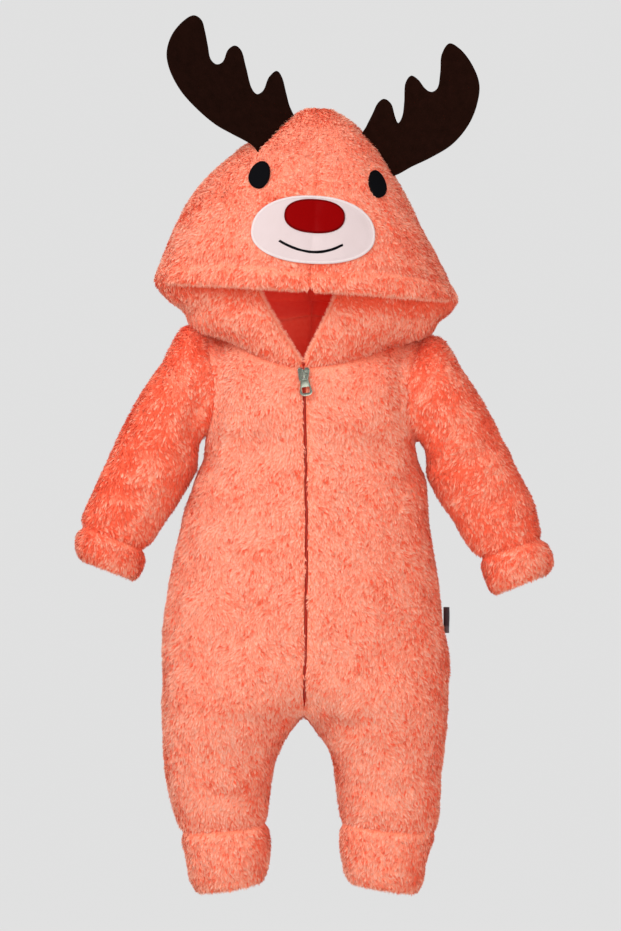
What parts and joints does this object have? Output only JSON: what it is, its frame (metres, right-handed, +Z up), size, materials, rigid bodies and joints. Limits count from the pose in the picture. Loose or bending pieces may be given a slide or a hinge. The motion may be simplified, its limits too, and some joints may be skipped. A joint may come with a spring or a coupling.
{
  "type": "deer costume onesie",
  "caption": "Hooded long-pile fleece body suit with a deer's face and felt antlers on the hood, a front zip, and open neck, sleeves and legs.",
  "frame": {"origin": "between the shoulders, on the centre line, where the wearer's shoulders hold the garment up", "axes": "+Z up from the legs to the hood, -Y the front with the zip, +X to the right as seen from the front"},
  "size_m": [0.482, 0.1855, 0.876],
  "materials": {
    "fleece": "long-pile plush",
    "muzzle_cloth": "smooth woven",
    "nose_thread": "satin stitch",
    "black_thread": "satin stitch",
    "felt": "pressed felt",
    "zip_cloth": "woven tape and nylon coil",
    "zip_metal": "polished",
    "label_cloth": "matt woven"
  },
  "bodies": {
    "garment": {"front_left": "fleece", "front_right": "fleece", "back_left": "fleece", "back_right": "fleece", "sleeve_left": "fleece", "sleeve_right": "fleece", "sleeve_cuff_left": "fleece", "sleeve_cuff_right": "fleece", "leg_cuff_left": "fleece", "leg_cuff_right": "fleece", "hood_left": "fleece", "hood_right": "fleece", "muzzle": "muzzle_cloth", "nose": "nose_thread", "mouth": "black_thread", "eye_left": "black_thread", "eye_right": "black_thread", "antler_left": "felt", "antler_right": "felt", "zip_chain": "zip_cloth", "zip_tape_left": "zip_cloth", "zip_tape_right": "zip_cloth", "zip_slider": "zip_metal", "side_label": "label_cloth"},
    "zip_pull": {"zip_pull": "zip_metal"}
  },
  "joints": [
    {"name": "zip_pull_hinge", "type": "hinge", "parent": "garment", "child": "zip_pull", "pos_m": [-0.00232, -0.06415, -0.02951], "axis": [-0.9903, -0.0224, -0.1374], "range_deg": [0, 150]}
  ]
}
